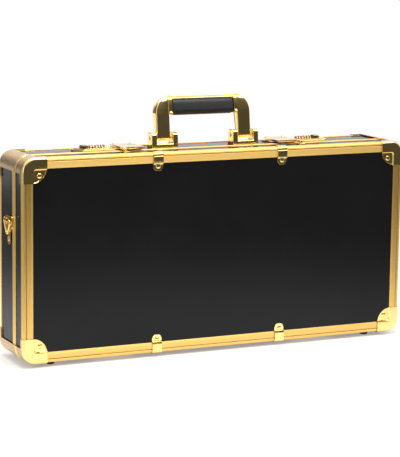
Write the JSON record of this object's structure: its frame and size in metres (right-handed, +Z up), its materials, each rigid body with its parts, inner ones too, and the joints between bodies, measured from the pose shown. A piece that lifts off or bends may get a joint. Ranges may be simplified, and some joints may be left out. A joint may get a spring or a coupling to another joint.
{
  "type": "poker chip case",
  "caption": "Hard-sided gaming chip case with a hinged lid, gold edge trims, corner plates, combination locks, folding handle, strap rings and a chip tray.",
  "frame": {"origin": "on the surface the case stands on, under the middle of its bounding box, standing on its feet with the lid closed and the handle up", "axes": "+X along the case's length, +Y from the lid to the back, +Z up towards the handle"},
  "size_m": [0.5746, 0.0926, 0.3427],
  "materials": {
    "black_board": "satin black laminate with a very fine pebble",
    "gold_aluminium": "gold anodised extrusion, brushed along its length with fine ribs",
    "gold_plate": "mirror-polished gold plating on pressed and cast metal",
    "black_rubber": "matt moulded rubber",
    "tray_flock": "vacuum-formed tray with black flocking",
    "lid_velvet": "padded black velvet",
    "black_leather": "fine-grained black leather over a padded core",
    "dial_brass": "satin brass wheels with red numerals"
  },
  "bodies": {
    "base": {"base_back_panel": "black_board", "base_corner_bottom_left": "gold_plate", "base_corner_bottom_right": "gold_plate", "base_corner_top_left": "gold_plate", "base_corner_top_right": "gold_plate", "base_edge_trim": "gold_aluminium", "base_foot_left": "black_rubber", "base_foot_right": "black_rubber", "base_hinge_left": "gold_plate", "base_hinge_right": "gold_plate", "base_mouth_trim": "gold_aluminium", "base_wall_bottom": "black_board", "base_wall_left": "black_board", "base_wall_right": "black_board", "base_wall_top": "black_board", "chip_tray": "tray_flock", "handle_bracket_left": "gold_plate", "handle_bracket_right": "gold_plate", "handle_pin_left": "gold_plate", "handle_pin_right": "gold_plate", "lock_left_body": "gold_plate", "lock_right_body": "gold_plate", "strap_plate_left": "gold_plate", "strap_plate_right": "gold_plate"},
    "lid": {"lid_clip_bottom_left": "gold_plate", "lid_clip_bottom_right": "gold_plate", "lid_clip_top_left": "gold_plate", "lid_clip_top_right": "gold_plate", "lid_corner_bottom_left": "gold_plate", "lid_corner_bottom_right": "gold_plate", "lid_corner_top_left": "gold_plate", "lid_corner_top_right": "gold_plate", "lid_edge_trim": "gold_aluminium", "lid_foot_left": "black_rubber", "lid_foot_right": "black_rubber", "lid_front_panel": "black_board", "lid_hinge_left": "gold_plate", "lid_hinge_right": "gold_plate", "lid_lining": "lid_velvet", "lid_wall_bottom": "black_board", "lid_wall_left": "black_board", "lid_wall_right": "black_board", "lid_wall_top": "black_board", "lock_left_keeper": "gold_plate", "lock_right_keeper": "gold_plate"},
    "handle": {"handle_bow": "gold_plate", "handle_grip": "black_leather"},
    "left_hasp": {"lock_left_hasp": "gold_plate"},
    "left_slide": {"lock_left_slide": "gold_plate"},
    "left_strap_ring": {"strap_ring_left": "gold_plate"},
    "right_hasp": {"lock_right_hasp": "gold_plate"},
    "right_slide": {"lock_right_slide": "gold_plate"},
    "right_strap_ring": {"strap_ring_right": "gold_plate"},
    "left_dial_1": {"lock_left_dial_1": "dial_brass"},
    "left_dial_2": {"lock_left_dial_2": "dial_brass"},
    "left_dial_3": {"lock_left_dial_3": "dial_brass"},
    "right_dial_1": {"lock_right_dial_1": "dial_brass"},
    "right_dial_2": {"lock_right_dial_2": "dial_brass"},
    "right_dial_3": {"lock_right_dial_3": "dial_brass"}
  },
  "joints": [
    {"name": "lid_hinge", "type": "hinge", "parent": "base", "child": "lid", "pos_m": [0, -0.019, 0.0036], "axis": [1, 0, 0], "range_deg": [0, 95]},
    {"name": "handle_swing", "type": "hinge", "parent": "base", "child": "handle", "pos_m": [0, 0.012, 0.286], "axis": [1, 0, 0], "range_deg": [-73, 97]},
    {"name": "left_hasp_hinge", "type": "hinge", "parent": "base", "child": "left_hasp", "pos_m": [-0.115, 0.024, 0.2776], "axis": [-1, 0, 0], "range_deg": [0, 80]},
    {"name": "left_slide_travel", "type": "slide", "parent": "base", "child": "left_slide", "axis": [-1, 0, 0], "range_m": [0, 0.0045], "stiffness_N_per_m": 120, "springref_m": -0.001},
    {"name": "left_ring_swing", "type": "hinge", "parent": "base", "child": "left_strap_ring", "pos_m": [-0.284, 0.004, 0.189], "axis": [0, 1, 0], "range_deg": [0, 160]},
    {"name": "left_dial_1_turn", "type": "hinge", "parent": "base", "child": "left_dial_1", "pos_m": [-0.146, 0.015, 0.2745], "axis": [1, 0, 0], "continuous": true},
    {"name": "left_dial_2_turn", "type": "hinge", "parent": "base", "child": "left_dial_2", "pos_m": [-0.1542, 0.015, 0.2745], "axis": [1, 0, 0], "continuous": true},
    {"name": "left_dial_3_turn", "type": "hinge", "parent": "base", "child": "left_dial_3", "pos_m": [-0.1624, 0.015, 0.2745], "axis": [1, 0, 0], "continuous": true},
    {"name": "right_hasp_hinge", "type": "hinge", "parent": "base", "child": "right_hasp", "pos_m": [0.115, 0.024, 0.2776], "axis": [-1, 0, 0], "range_deg": [0, 80]},
    {"name": "right_slide_travel", "type": "slide", "parent": "base", "child": "right_slide", "axis": [1, 0, 0], "range_m": [0, 0.0045], "stiffness_N_per_m": 120, "springref_m": -0.001},
    {"name": "right_ring_swing", "type": "hinge", "parent": "base", "child": "right_strap_ring", "pos_m": [0.284, 0.004, 0.189], "axis": [0, -1, 0], "range_deg": [0, 160]},
    {"name": "right_dial_1_turn", "type": "hinge", "parent": "base", "child": "right_dial_1", "pos_m": [0.146, 0.015, 0.2745], "axis": [1, 0, 0], "continuous": true},
    {"name": "right_dial_2_turn", "type": "hinge", "parent": "base", "child": "right_dial_2", "pos_m": [0.1542, 0.015, 0.2745], "axis": [1, 0, 0], "continuous": true},
    {"name": "right_dial_3_turn", "type": "hinge", "parent": "base", "child": "right_dial_3", "pos_m": [0.1624, 0.015, 0.2745], "axis": [1, 0, 0], "continuous": true}
  ]
}
